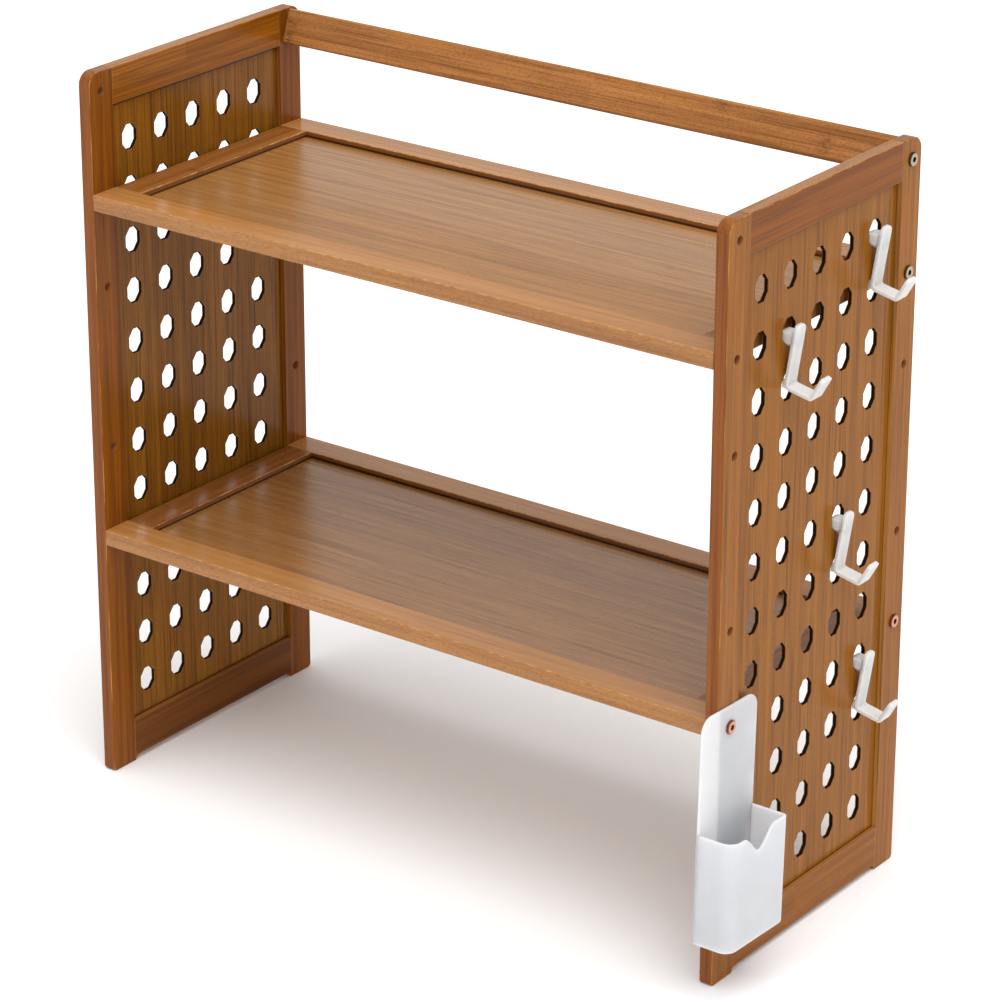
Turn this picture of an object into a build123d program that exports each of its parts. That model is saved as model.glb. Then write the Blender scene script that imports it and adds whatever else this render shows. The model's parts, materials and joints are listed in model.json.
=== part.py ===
"""Desktop storage rack: two perforated frame-and-panel sides, two framed shelves, a tilted back rail,
four peg hooks and a pen cup.

Millimetres, +Z up, +X to the right and +Y to the back. The origin is on the floor, under the middle of
the whole rack with its hooks and cup.
"""
import os
from math import cos, hypot, radians, sin, tan

from build123d import *

os.makedirs("parts", exist_ok=True)

# Overall sizes of the bare rack
rack_width = 504.0
rack_depth = 214.0
rack_height = 500.0

# Side frames: two posts with a top and a bottom rail between them
side_thickness = 9.5
post_width = 22.0
top_rail_height = 25.0
bottom_rail_height = 27.0
foot_height = 4.0
foot_notch_run = 2.5
foot_notch_drop = 3.0
post_top_radius = 9.0
post_foot_radius = 3.0
arris_radius = 0.8

# Grooves, stub tenons and the thin boards that sit in them
groove_depth = 5.0
groove_play = 0.2
tenon_shoulder = 5.0
panel_thickness = 3.0

# Eight-sided peg holes in the side panels
hole_columns = 5
hole_rows = 12
hole_width = 14.2
hole_height = 17.6
hole_front_margin = 18.6
hole_rear_margin = 24.2
hole_top_margin = 27.2
hole_bottom_margin = 24.1
octagon_flat = tan(radians(22.5))

# Bolt holes: back rail, upper shelf and upper spare below the top, lower spare and lower shelf above
# the floor
rail_bolt_drop = 13.5
upper_bolt_drop = 87.0
upper_spare_drop = 148.0
lower_spare_height = 238.5
lower_bolt_height = 175.5
bolt_hole_diameter = 6.0

# Shelves: four bars round a lower board
shelf_thickness = 11.0
bar_width = 22.0
board_thickness = 4.0
board_drop = 4.0

# Back rail, turned about its two bolts
rail_height = 24.0
rail_thickness = 9.0
rail_tilt = 20.0
rail_end_gap = 0.3
rail_round = 1.5

# Furniture bolts and the threaded inserts that take them
bolt_diameter = 5.0
bolt_length = 24.0
bolt_head_diameter = 9.0
bolt_head_height = 1.6
bolt_head_chamfer = 0.5
key_width = 3.5
key_depth = 1.8
insert_diameter = 6.5
insert_length = 12.0
insert_play = 0.1
thread_play = 0.1
bore_spare = 4.0

# Peg hooks: a bent strap with a lipped neck above and a stub below, measured from the panel's outer
# face and from the middle of the upper hole
hook_width = 11.0
hook_thickness = 2.7
hook_top_stand = 9.2
hook_top_rise = 6.0
hook_foot_stand = 3.1
hook_foot_lift = 2.6
hook_arm_reach = 18.8
hook_arm_fall = 0.7
hook_tip_reach = 26.2
hook_tip_rise = 13.2
hook_foot_bend = 1.5
hook_tip_bend = 0.5
hook_top_round = 4.5
hook_tip_round = 3.0
hook_edge_round = 0.7
neck_width = 9.6
neck_height = 9.0
neck_chamfer = 2.6
neck_seat_gap = 0.3
lip_width = 5.6
lip_drop = 1.4
lip_top_fall = 2.0
lip_gap = 0.4
lip_clearance = 0.25
stub_width = 6.0
stub_height = 5.0
stub_length = 2.5
heel_width = 5.2
heel_height = 4.0
heel_gap = 0.3
hook_places = [(5, 1), (2, 2), (4, 6), (5, 9)]

# Pen cup: a back plate under the lower front bolt with a pocket below, hanging a little out of square
cup_width = 60.5
cup_wall = 1.8
cup_depth = 27.4
cup_plate_rise = 14.0
cup_rim_drop = 61.9
cup_bottom_drop = 136.4
cup_plate_radius = 10.0
cup_front_radius = 9.0
cup_rear_radius = 3.0
cup_bottom_radius = 3.0
cup_tilt = 1.9
cup_hole_diameter = 5.5
scoop_width = 34.0
scoop_depth = 12.4
scoop_offset = -0.4

# Places that follow from the sizes above
panel_recess = (side_thickness - panel_thickness) / 2
cup_turn = radians(cup_tilt)
cup_front_reach = (
    (cup_width / 2 - cup_bottom_radius) * cos(cup_turn)
    + (cup_bottom_drop - cup_bottom_radius) * sin(cup_turn)
    + cup_bottom_radius
    - post_width / 2
)
hook_tip_length = hypot(hook_tip_reach - hook_arm_reach, hook_tip_rise)
hook_side_reach = hook_tip_reach + hook_thickness * hook_tip_rise / hook_tip_length - panel_recess
lip_thickness = panel_recess - lip_gap - lip_drop - lip_clearance
left_x = (bolt_head_height - max(hook_side_reach, cup_depth) - rack_width) / 2
right_x = left_x + rack_width
front_y = (cup_front_reach - rack_depth) / 2
rear_y = front_y + rack_depth
inner_left_x = left_x + side_thickness
inner_right_x = right_x - side_thickness
inner_width = inner_right_x - inner_left_x
middle_y = (front_y + rear_y) / 2
front_bolt_y = front_y + post_width / 2
rear_bolt_y = rear_y - post_width / 2
panel_bottom = foot_height + bottom_rail_height
panel_top = rack_height - top_rail_height
first_hole_y = front_y + post_width + hole_front_margin
last_hole_y = rear_y - post_width - hole_rear_margin
first_hole_z = panel_top - hole_top_margin
last_hole_z = panel_bottom + hole_bottom_margin
hole_pitch_y = (last_hole_y - first_hole_y) / (hole_columns - 1)
hole_pitch_z = (first_hole_z - last_hole_z) / (hole_rows - 1)
hook_foot_drop = hole_pitch_z - hook_foot_lift
hook_arm_drop = hole_pitch_z + hook_arm_fall
hook_tip_drop = hook_arm_drop - hook_tip_rise
rail_bolt_height = rack_height - rail_bolt_drop
upper_bolt_height = rack_height - upper_bolt_drop
upper_spare_height = rack_height - upper_spare_drop
bolt_heights = [
    rail_bolt_height, upper_bolt_height, upper_spare_height, lower_spare_height, lower_bolt_height
]
insert_bore_radius = insert_diameter / 2 + insert_play
insert_bore_depth = bolt_length - side_thickness + bore_spare


def save(piece, name):
    """Name a finished piece and write it to its own file."""
    piece.part.label = name
    export_step(piece.part, f"parts/{name}.step")


def box_between(low, high, mode=Mode.ADD):
    """Add or cut the box between two opposite corners."""
    size = [abs(b - a) for a, b in zip(low, high)]
    with Locations(tuple((a + b) / 2 for a, b in zip(low, high))):
        Box(*size, mode=mode)


def make_post(name, outer_x, y_outer, y_inner):
    """An upright of a side frame, grooved on its inner edge, with five bolt holes."""
    low_y = min(y_outer, y_inner)
    inward = 1 if y_inner > y_outer else -1
    groove_x = outer_x + side_thickness / 2
    groove_half = panel_thickness / 2
    with BuildPart() as post:
        with BuildSketch(Plane.YZ.offset(outer_x)):
            with Locations((low_y + post_width / 2, rack_height / 2)):
                Rectangle(post_width, rack_height)
            outer_corners = vertices().group_by(Axis.X)[0 if inward > 0 else -1].sort_by(Axis.Y)
            fillet(outer_corners[-1], post_top_radius)
            foot_corners = vertices().group_by(Axis.Y)[0].sort_by(Axis.X)
            fillet(foot_corners[0 if inward > 0 else -1], post_foot_radius)
        extrude(amount=side_thickness)
        faces_x = post.faces().sort_by(Axis.X)
        rim = faces_x[0].edges() + faces_x[-1].edges()
        fillet(rim.filter_by(lambda edge: abs(edge.center().Y - y_inner) > arris_radius), arris_radius)
        box_between(
            (groove_x - groove_half, y_inner - inward * groove_depth, foot_height + tenon_shoulder),
            (groove_x + groove_half, y_inner, rack_height - tenon_shoulder),
            mode=Mode.SUBTRACT,
        )
        with BuildSketch(Plane.YZ.offset(outer_x)):
            with Locations(*[(low_y + post_width / 2, height) for height in bolt_heights]):
                Circle(bolt_hole_diameter / 2)
        extrude(amount=side_thickness, mode=Mode.SUBTRACT)
    save(post, name)


def make_rail(name, outer_x, low_z, high_z, is_top):
    """A rail between two posts, with a stub tenon at each end and a groove towards the panel."""
    low_y = front_y + post_width
    high_y = rear_y - post_width
    tenon_x = outer_x + panel_recess
    groove_floor = low_z + groove_depth if is_top else high_z - groove_depth
    groove_lip = low_z if is_top else high_z
    tenon_end = high_z - tenon_shoulder if is_top else low_z + tenon_shoulder
    with BuildPart() as rail:
        box_between((outer_x, low_y, low_z), (outer_x + side_thickness, high_y, high_z))
        if is_top:
            long_edges = rail.edges().filter_by(Axis.Y).group_by(Axis.Z)[-1]
            fillet(long_edges, arris_radius)
        else:
            for end_y, run in ((low_y, foot_notch_run), (high_y, -foot_notch_run)):
                with BuildSketch(Plane.YZ.offset(outer_x)):
                    with BuildLine():
                        Polyline(
                            (end_y, low_z),
                            (end_y, low_z - foot_notch_drop),
                            (end_y + run, low_z),
                            close=True,
                        )
                    make_face()
                extrude(amount=side_thickness)
        box_between(
            (tenon_x, low_y, groove_floor),
            (tenon_x + panel_thickness, high_y, groove_lip),
            mode=Mode.SUBTRACT,
        )
        box_between(
            (tenon_x, low_y - groove_depth + groove_play, groove_floor),
            (tenon_x + panel_thickness, high_y + groove_depth - groove_play, tenon_end),
        )
    save(rail, name)


def octagon_points(width, height):
    """Corners of an eight-sided hole that is as wide and as high as given."""
    half_width, half_height = width / 2, height / 2
    flat_y, flat_z = half_width * octagon_flat, half_height * octagon_flat
    right_half = [
        (flat_y, -half_height), (half_width, -flat_z), (half_width, flat_z), (flat_y, half_height)
    ]
    return right_half + [(-y, -z) for y, z in right_half]


def make_panel(name, outer_x):
    """A thin board held in the grooves of a side frame, with its field of peg holes."""
    inset = groove_depth - groove_play
    panel_depth = rack_depth - 2 * post_width + 2 * inset
    panel_height = panel_top - panel_bottom + 2 * inset
    with BuildPart() as panel:
        with BuildSketch(Plane.YZ.offset(outer_x + panel_recess)):
            with Locations((middle_y, (panel_bottom + panel_top) / 2)):
                Rectangle(panel_depth, panel_height)
            with Locations(((first_hole_y + last_hole_y) / 2, (first_hole_z + last_hole_z) / 2)):
                with GridLocations(hole_pitch_y, hole_pitch_z, hole_columns, hole_rows):
                    Polygon(*octagon_points(hole_width, hole_height), mode=Mode.SUBTRACT)
        extrude(amount=panel_thickness)
    save(panel, name)


def make_long_bar(name, low_y, groove_y, top_z):
    """A front or rear shelf bar: grooved towards the board, with an insert bore in each end."""
    low_z = top_z - shelf_thickness
    board_top = top_z - board_drop
    groove_end = groove_y - groove_depth if groove_y > low_y else groove_y + groove_depth
    with BuildPart() as bar:
        box_between((inner_left_x, low_y, low_z), (inner_right_x, low_y + bar_width, top_z))
        fillet(bar.edges().filter_by(Axis.X), arris_radius)
        box_between(
            (inner_left_x, groove_y, board_top - board_thickness),
            (inner_right_x, groove_end, board_top),
            mode=Mode.SUBTRACT,
        )
        for plane in (Plane.YZ.offset(inner_left_x), -Plane.YZ.offset(inner_right_x)):
            with BuildSketch(plane):
                bar_end = Vector(plane.origin.X, low_y + bar_width / 2, low_z + shelf_thickness / 2)
                end = plane.to_local_coords(bar_end)
                with Locations((end.X, end.Y)):
                    Circle(insert_bore_radius)
            extrude(amount=insert_bore_depth, mode=Mode.SUBTRACT)
    save(bar, name)


def make_short_bar(name, low_x, groove_x, top_z):
    """A left or right shelf bar: butts between the long bars, with a stub tenon at each end."""
    low_z = top_z - shelf_thickness
    board_top = top_z - board_drop
    low_y = front_y + bar_width
    high_y = rear_y - bar_width
    outer_x = low_x if groove_x > low_x else low_x + bar_width
    inward = 1 if groove_x > low_x else -1
    groove_end = groove_x - inward * groove_depth
    tenon_start = outer_x + inward * tenon_shoulder
    with BuildPart() as bar:
        box_between((low_x, low_y, low_z), (low_x + bar_width, high_y, top_z))
        fillet(bar.edges().filter_by(Axis.Y), arris_radius)
        box_between(
            (groove_x, low_y, board_top - board_thickness),
            (groove_end, high_y, board_top),
            mode=Mode.SUBTRACT,
        )
        box_between(
            (tenon_start, low_y - groove_depth + groove_play, board_top - board_thickness),
            (groove_end, high_y + groove_depth - groove_play, board_top),
        )
    save(bar, name)


def make_board(name, top_z):
    """The board of a shelf, held on all four sides in the bars' grooves."""
    inset = bar_width - groove_depth + groove_play
    board_top = top_z - board_drop
    with BuildPart() as board:
        box_between(
            (inner_left_x + inset, front_y + inset, board_top - board_thickness),
            (inner_right_x - inset, rear_y - inset, board_top),
        )
    save(board, name)


def make_bolt(name, seat_x, bolt_y, bolt_z, outward):
    """A furniture bolt with a low round head and a six-sided key socket, its head seated at seat_x."""
    seat = Plane((seat_x, bolt_y, bolt_z), x_dir=(0, 1, 0), z_dir=(outward, 0, 0))
    with BuildPart() as bolt:
        with BuildSketch(seat):
            Circle(bolt_head_diameter / 2)
        extrude(amount=bolt_head_height)
        head_edge = bolt.edges().filter_by(GeomType.CIRCLE).sort_by(Axis.X)[-1 if outward > 0 else 0]
        chamfer(head_edge, bolt_head_chamfer)
        with BuildSketch(seat):
            Circle(bolt_diameter / 2)
        extrude(amount=-bolt_length)
        with BuildSketch(seat.offset(bolt_head_height)):
            RegularPolygon(key_width / 2, 6, major_radius=False)
        extrude(amount=-key_depth, mode=Mode.SUBTRACT)
    save(bolt, name)


def make_insert(name, face_x, bolt_y, bolt_z, inward):
    """A threaded insert, flush with the end of the bar that it sits in."""
    with BuildPart() as insert:
        with BuildSketch(Plane((face_x, bolt_y, bolt_z), x_dir=(0, 1, 0), z_dir=(inward, 0, 0))):
            Circle(insert_diameter / 2)
            Circle(bolt_diameter / 2 + thread_play, mode=Mode.SUBTRACT)
        extrude(amount=insert_length)
    save(insert, name)


def make_back_rail(name):
    """The slat across the back, bolted once at each end and leaning back about its bolts."""
    centre = Plane(
        (inner_left_x + rail_end_gap, rear_bolt_y, rail_bolt_height),
        x_dir=(0, cos(radians(rail_tilt)), -sin(radians(rail_tilt))),
        z_dir=(1, 0, 0),
    )
    rail_length = inner_width - 2 * rail_end_gap
    with BuildPart() as rail:
        with BuildSketch(centre):
            RectangleRounded(rail_thickness, rail_height, rail_round)
        extrude(amount=rail_length)
        for end, depth in ((centre, insert_bore_depth), (centre.offset(rail_length), -insert_bore_depth)):
            with BuildSketch(end):
                Circle(insert_bore_radius)
            extrude(amount=depth, mode=Mode.SUBTRACT)
    save(rail, name)


def make_hook(name, column, row):
    """A peg hook: a strap bent out and up, hung by its lipped neck in one hole, its stub in the next."""
    hole_y = first_hole_y + (column - 1) * hole_pitch_y
    hole_z = first_hole_z - (row - 1) * hole_pitch_z
    face_x = right_x - panel_recess
    profile = Plane((face_x, hole_y, hole_z), x_dir=(1, 0, 0), z_dir=(0, -1, 0))
    section = Plane((face_x, hole_y, hole_z), x_dir=(0, 1, 0), z_dir=(1, 0, 0))
    lean = (hook_top_stand - hook_foot_stand) / (hook_top_rise + hook_foot_drop)
    neck_low = neck_seat_gap - hole_height / 2
    neck_back = -panel_thickness - lip_gap
    heel_low = hole_height / 2 - hole_pitch_z
    shank_x = hook_foot_stand + lean * hook_foot_drop - hook_thickness / 2
    with BuildPart() as hook:
        with BuildSketch(profile):
            with BuildLine():
                path = FilletPolyline(
                    (hook_top_stand, hook_top_rise),
                    (hook_foot_stand, -hook_foot_drop),
                    (hook_arm_reach, -hook_arm_drop),
                    (hook_tip_reach, -hook_tip_drop),
                    radius=[hook_foot_bend, hook_tip_bend],
                )
                offset(path, amount=hook_thickness, side=Side.RIGHT)
            make_face()
        extrude(amount=hook_width / 2, both=True)
        top_face = hook.faces().sort_by(Axis.Z)[-1]
        tip_face = hook.faces().filter_by(GeomType.PLANE).sort_by(Axis.X)[-1]
        fillet(top_face.edges().filter_by(Axis.Y, reverse=True), hook_top_round)
        fillet(tip_face.edges().filter_by(Axis.Y, reverse=True), hook_tip_round)
        side_faces = hook.faces().filter_by(Axis.Y)
        long_edges = [face.edges().sort_by(SortBy.LENGTH)[-2:] for face in side_faces]
        fillet([edge for pair in long_edges for edge in pair], hook_edge_round)
        with BuildSketch(section.offset(neck_back)):
            with Locations((0, neck_low + neck_height / 2)):
                Rectangle(neck_width, neck_height)
            chamfer(vertices().group_by(Axis.Y)[0], neck_chamfer)
        extrude(amount=shank_x - neck_back)
        with BuildSketch(profile):
            with BuildLine():
                Polyline(
                    (neck_back, neck_low + neck_height),
                    (neck_back, neck_low),
                    (neck_back - lip_drop, neck_low - lip_drop),
                    (neck_back - lip_drop - lip_thickness, neck_low - lip_drop),
                    (neck_back - lip_drop - lip_thickness, neck_low + neck_height - lip_top_fall),
                    close=True,
                )
            make_face()
        extrude(amount=lip_width / 2, both=True)
        for width, height, middle_z, start_x in (
            (stub_width, stub_height, -hole_pitch_z + stub_height / 2, -stub_length),
            (heel_width, heel_height, heel_low + heel_height / 2, heel_gap),
        ):
            with BuildSketch(section.offset(start_x)):
                with Locations((0, middle_z)):
                    Rectangle(width, height)
            strap_x = hook_foot_stand + lean * (hook_foot_drop + middle_z) - hook_thickness / 2
            extrude(amount=strap_x - start_x)
    save(hook, name)


def make_cup(name):
    """The pen cup: a plate clamped under the bolt and a pocket with a scooped outer wall."""
    plate = Plane(
        (right_x, front_bolt_y, lower_bolt_height),
        x_dir=(0, cos(cup_turn), -sin(cup_turn)),
        z_dir=(1, 0, 0),
    )
    floor_origin = plate.from_local_coords(Vector(0, -cup_bottom_drop, 0))
    floor = Plane(floor_origin, x_dir=plate.x_dir, z_dir=plate.y_dir)
    upward = Axis(floor_origin, plate.y_dir)
    plate_height = cup_plate_rise + cup_bottom_drop
    rim_height = cup_bottom_drop - cup_rim_drop
    with BuildPart() as cup:
        with BuildSketch(floor):
            with Locations((0, -cup_depth / 2)):
                Rectangle(cup_width, cup_depth)
            outer_corners = vertices().group_by(Axis.Y)[0].sort_by(Axis.X)
            fillet(outer_corners[0], cup_front_radius)
            fillet(vertices().group_by(Axis.Y)[0].sort_by(Axis.X)[-1], cup_rear_radius)
        extrude(amount=rim_height)
        floor_face = cup.faces().sort_by(upward)[0]
        back_face = cup.faces().sort_by(Axis.X)[0]
        floor_edges = floor_face.edges().filter_by(
            lambda edge: (edge.center() - back_face.center()).X > cup_wall
        )
        fillet(floor_edges, cup_bottom_radius)
        offset(amount=-cup_wall, openings=cup.faces().filter_by(upward).sort_by(upward)[-1])
        with BuildSketch(plate):
            with Locations((0, (cup_plate_rise - cup_bottom_drop) / 2)):
                Rectangle(cup_width, plate_height)
            plate_corners = vertices().group_by(Axis.Y)
            fillet(plate_corners[-1], cup_plate_radius)
            fillet(plate_corners[0], cup_bottom_radius)
        extrude(amount=cup_wall)
        with BuildSketch(plate.offset(cup_depth - 2 * cup_wall)):
            with BuildLine():
                lip = Spline(
                    (scoop_offset - scoop_width / 2, -cup_rim_drop),
                    (scoop_offset, -cup_rim_drop - scoop_depth),
                    (scoop_offset + scoop_width / 2, -cup_rim_drop),
                    tangents=((1, 0), (1, 0)),
                )
                Line(lip @ 0, lip @ 1)
            make_face()
        extrude(amount=3 * cup_wall, mode=Mode.SUBTRACT)
        with BuildSketch(plate):
            Circle(cup_hole_diameter / 2)
        extrude(amount=cup_wall, mode=Mode.SUBTRACT)
    save(cup, name)


# The two sides
for side, outer_x in (("left", left_x), ("right", inner_right_x)):
    make_post(f"{side}_front_post", outer_x, front_y, front_y + post_width)
    make_post(f"{side}_rear_post", outer_x, rear_y, rear_y - post_width)
    make_rail(f"{side}_top_rail", outer_x, panel_top, rack_height, True)
    make_rail(f"{side}_bottom_rail", outer_x, foot_height, panel_bottom, False)
    make_panel(f"{side}_panel", outer_x)

# The two shelves, each centred on its bolts
for shelf, bolt_z in (("upper", upper_bolt_height), ("lower", lower_bolt_height)):
    top_z = bolt_z + shelf_thickness / 2
    make_long_bar(f"{shelf}_shelf_front_bar", front_y, front_y + bar_width, top_z)
    make_long_bar(f"{shelf}_shelf_rear_bar", rear_y - bar_width, rear_y - bar_width, top_z)
    make_short_bar(f"{shelf}_shelf_left_bar", inner_left_x, inner_left_x + bar_width, top_z)
    make_short_bar(f"{shelf}_shelf_right_bar", inner_right_x - bar_width, inner_right_x - bar_width, top_z)
    make_board(f"{shelf}_shelf_board", top_z)

# The back rail
make_back_rail("back_rail")

# Inserts in the shelf bars and in the rail
for shelf, bolt_z in (("upper", upper_bolt_height), ("lower", lower_bolt_height)):
    for place, bolt_y in (("front", front_bolt_y), ("rear", rear_bolt_y)):
        make_insert(f"{shelf}_left_{place}_insert", inner_left_x, bolt_y, bolt_z, 1)
        make_insert(f"{shelf}_right_{place}_insert", inner_right_x, bolt_y, bolt_z, -1)
make_insert("rail_left_insert", inner_left_x + rail_end_gap, rear_bolt_y, rail_bolt_height, 1)
make_insert("rail_right_insert", inner_right_x - rail_end_gap, rear_bolt_y, rail_bolt_height, -1)

# Bolts: the upper shelf's right front hole stays open, and the cup hangs under the lower one
make_bolt("upper_left_front_bolt", left_x, front_bolt_y, upper_bolt_height, -1)
make_bolt("upper_left_rear_bolt", left_x, rear_bolt_y, upper_bolt_height, -1)
make_bolt("upper_right_rear_bolt", right_x, rear_bolt_y, upper_bolt_height, 1)
make_bolt("lower_left_front_bolt", left_x, front_bolt_y, lower_bolt_height, -1)
make_bolt("lower_left_rear_bolt", left_x, rear_bolt_y, lower_bolt_height, -1)
make_bolt("lower_right_rear_bolt", right_x, rear_bolt_y, lower_bolt_height, 1)
make_bolt("rail_left_bolt", left_x, rear_bolt_y, rail_bolt_height, -1)
make_bolt("rail_right_bolt", right_x, rear_bolt_y, rail_bolt_height, 1)
make_bolt("cup_bolt", right_x + cup_wall, front_bolt_y, lower_bolt_height, 1)

# Hooks and cup
for number, (column, row) in enumerate(hook_places, start=1):
    make_hook(f"hook_{number}", column, row)
make_cup("pen_cup")
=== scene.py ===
"""Desktop storage rack in stained bamboo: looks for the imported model, in its frame, in metres."""

import json
from math import atan2, cos, pi, radians, sin, tan

import bpy
import numpy as np
from mathutils import Matrix, Vector


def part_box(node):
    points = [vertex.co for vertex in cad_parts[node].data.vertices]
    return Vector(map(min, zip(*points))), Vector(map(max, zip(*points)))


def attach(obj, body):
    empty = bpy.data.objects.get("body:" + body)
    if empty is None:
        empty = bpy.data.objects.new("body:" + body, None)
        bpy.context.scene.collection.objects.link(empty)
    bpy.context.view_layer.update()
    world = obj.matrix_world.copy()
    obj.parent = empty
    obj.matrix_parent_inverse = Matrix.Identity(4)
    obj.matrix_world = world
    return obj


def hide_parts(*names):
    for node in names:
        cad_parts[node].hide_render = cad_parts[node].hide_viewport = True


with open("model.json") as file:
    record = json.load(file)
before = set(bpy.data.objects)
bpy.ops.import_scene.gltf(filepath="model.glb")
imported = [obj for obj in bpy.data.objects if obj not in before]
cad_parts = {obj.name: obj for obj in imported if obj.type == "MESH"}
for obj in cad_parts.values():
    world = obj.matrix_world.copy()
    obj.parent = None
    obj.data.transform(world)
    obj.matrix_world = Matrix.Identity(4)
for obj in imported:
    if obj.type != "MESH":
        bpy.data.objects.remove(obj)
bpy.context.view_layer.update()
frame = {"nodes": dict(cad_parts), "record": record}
MM = 0.001
AXES = {"X": 0, "Y": 1, "Z": 2}

# Shader node settings that come up often
BLEND = {"data_type": "RGBA"}
TINT = {"data_type": "RGBA", "blend_type": "MULTIPLY"}
TIMES = {"operation": "MULTIPLY"}
TIMES_PLUS = {"operation": "MULTIPLY_ADD"}
MINUS = {"operation": "SUBTRACT"}
SIZE_OF = {"operation": "ABSOLUTE"}
SMALLER = {"operation": "MINIMUM"}
BELOW = {"operation": "LESS_THAN"}
SMOOTH = {"interpolation_type": "SMOOTHSTEP"}


def linear(hex_colour):
    """An sRGB hex colour as linear red, green, blue and an alpha of one."""
    shares = np.array([int(hex_colour[i:i + 2], 16) for i in (0, 2, 4)]) / 255
    light = np.where(shares <= 0.04045, shares / 12.92, ((shares + 0.055) / 1.055) ** 2.4)
    return (*light.tolist(), 1.0)


def node(tree, kind, settings=None, **inputs):
    """Add one shader node. Settings are its properties. Inputs go by name, or as i0, i1 in their order,
    and each is a value, a socket, or a node whose first output is taken."""
    made = tree.nodes.new("ShaderNode" + kind)
    for key, value in (settings or {}).items():
        setattr(made, key, value)
    shown = [socket for socket in made.inputs if socket.enabled]
    for key, value in inputs.items():
        if key[0] == "i" and key[1:].isdigit():
            socket = shown[int(key[1:])]
        else:
            socket = next(s for s in shown if s.name == key.replace("_", " "))
        if isinstance(value, bpy.types.Node):
            value = next(s for s in value.outputs if s.enabled)
        if isinstance(value, bpy.types.NodeSocket):
            tree.links.new(value, socket)
        else:
            socket.default_value = value
    return made


def new_material(name):
    """A material with an empty node tree and its output node."""
    material = bpy.data.materials.new(name)
    material.use_nodes = True
    material.node_tree.nodes.clear()
    return material, material.node_tree, material.node_tree.nodes.new("ShaderNodeOutputMaterial")


def spread(grain, width, length):
    """Pattern scale for marks that are width across the grain and length along it, in millimetres."""
    scale = np.full(3, 1 / (width * MM))
    scale[AXES[grain]] = 1 / (length * MM)
    return tuple(scale)


# Marks in the bamboo: their width across the grain and length along it in millimetres, the noise's detail
# and the range of the noise that shows. Fibre bundles are really about 0.3 mm wide and vessels 0.2 mm, and
# both are drawn coarser so that they show.
DRIFT = {"width": 4.5, "length": 240, "detail": 3.0, "shown": (0.34, 0.66)}
PATCH = {"width": 15, "length": 95, "detail": 2.0, "shown": (0.45, 0.70), "strength": 0.4}
FIBRE = {"length": 85, "detail": 3.0, "shown": (0.48, 0.64)}
VESSEL = {"width": 0.6, "length": 2.2, "detail": 2.0, "shown": (0.50, 0.64)}
MOTTLE = {"width": 1.6, "length": 3.0, "detail": 2.0, "shown": (0.40, 0.62)}
RUB = {"width": 2.5, "detail": 3.0, "shown": (0.46, 0.62)}
MARK_ROUGHNESS = 0.6
# Pieces further apart than this have other strips, and patches keep this much of each colour of light
PIECE_SPACING = 70.0
YELLOWER = (1.0, 0.97, 0.62, 1.0)
# Facing along X times the place along X, in metres, where a face begins to look into the rack and does
INWARD = (-0.05, -0.12)
# Vessel marks away from the edge faces and on them, as a share of the finish's own
FLECKS_OFF_EDGE = 0.4
FLECKS_ON_EDGE = 1.8
# Slope of an arris where rubbing begins and where it is full, and how much of a painted shading line's reach
# is at full strength
ARRIS_SLOPE = (0.06, 0.2)
SHADING_LINE_FULL_SHARE = 0.6
# Bolt holes, whose walls get painted light: distance from the hole's middle outside and inside its wall, and
# how far the wall turns to X
BORE_REACH = (3.3, 3.1)
BORE_FACING = 0.3
# Scorched cuts: depth below the board's faces where they begin and are full, facing along X, and strength
SCORCH_DEPTH = (0.2, 0.5)
SCORCH_FACING = (0.7, 0.4)
SCORCH_STRENGTH = 0.98
# Lacquer follows the fibres in ridges of this height
FIBRE_RIDGE = 0.06
FIBRE_RIDGE_STRENGTH = 0.25
LACQUER_IOR = 1.5


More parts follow.
